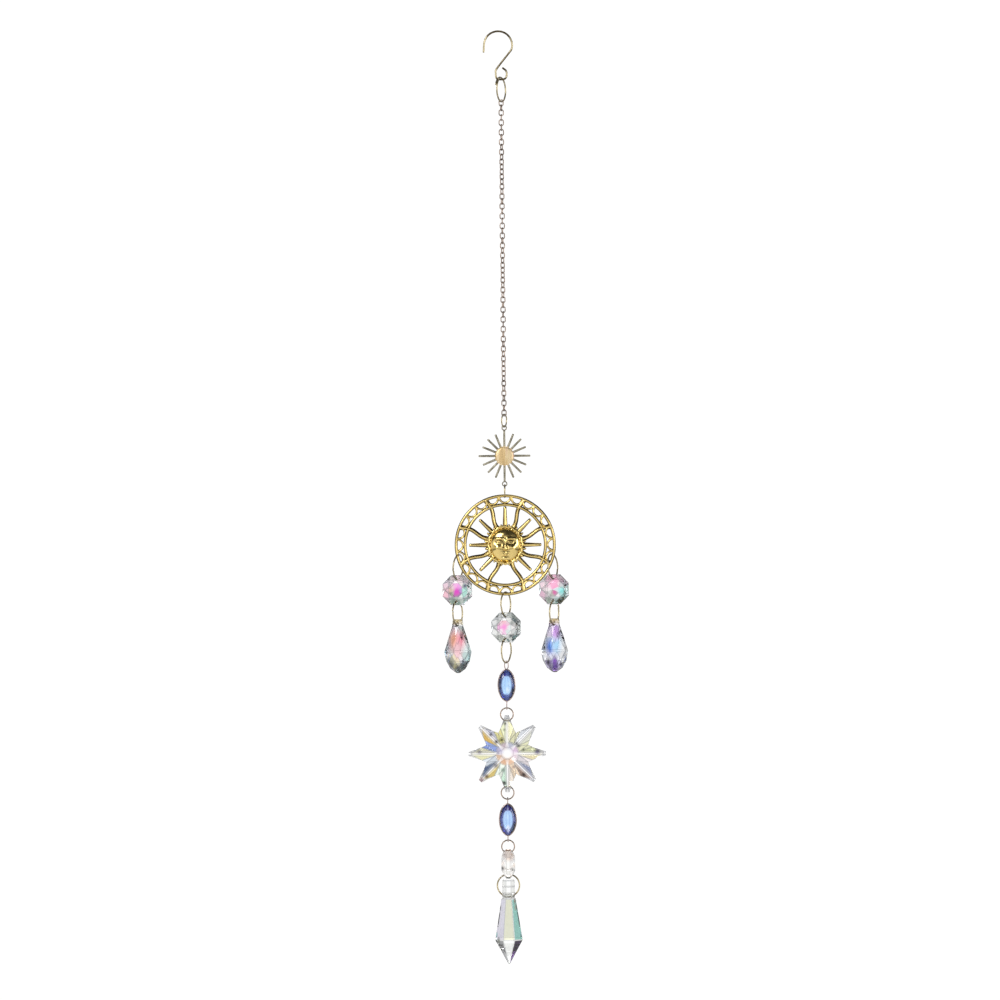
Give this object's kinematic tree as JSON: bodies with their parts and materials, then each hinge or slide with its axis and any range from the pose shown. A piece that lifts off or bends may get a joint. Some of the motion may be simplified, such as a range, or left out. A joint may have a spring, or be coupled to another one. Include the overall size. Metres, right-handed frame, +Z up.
{
  "type": "crystal suncatcher",
  "caption": "Hanging suncatcher: wire hook, fine chain, flat sun charm and pierced sun medallion above strands of faceted beads, blue drops, a glass star and a long glass point.",
  "frame": {"origin": "top of the inside of the hook, where it bears on whatever it hangs from", "axes": "+Z up along the hanging strand, -Y towards the front, +X to the right seen from the front"},
  "size_m": [0.0569, 0.0136, 0.4197],
  "materials": {
    "wire_gold": "pale gold-plated wire, bright",
    "chain_metal": "darker rose-brown plated chain",
    "charm_metal": "brushed gold-plated sheet",
    "cast_gold": "polished gold-plated casting",
    "rose_gold": "thin rose-gold setting",
    "coated_glass": "cut glass with an iridescent coating",
    "clear_glass": "clear cut glass with a faint iridescent coating",
    "blue_glass": "blue cut glass"
  },
  "bodies": {
    "root": {"hook": "wire_gold", "hanging_ring": "wire_gold", "chain": "chain_metal", "chain_ring": "wire_gold", "sun_charm": "charm_metal", "charm_ring": "wire_gold", "sun_medallion": "cast_gold", "left_rim_ring": "wire_gold", "left_octagon_bead": "coated_glass", "left_drop_ring": "wire_gold", "left_teardrop": "coated_glass", "right_rim_ring": "wire_gold", "right_octagon_bead": "coated_glass", "right_drop_ring": "wire_gold", "right_teardrop": "coated_glass", "centre_rim_ring": "wire_gold", "centre_octagon_bead": "coated_glass", "centre_drop_ring": "wire_gold", "upper_bezel": "rose_gold", "upper_stone": "blue_glass", "star_upper_ring": "wire_gold", "crystal_star": "clear_glass", "star_lower_ring": "wire_gold", "lower_bezel": "rose_gold", "lower_stone": "blue_glass", "bead_ring": "wire_gold", "turned_octagon_bead": "clear_glass", "prism_ring": "wire_gold", "icicle_prism": "clear_glass"}
  },
  "joints": []
}
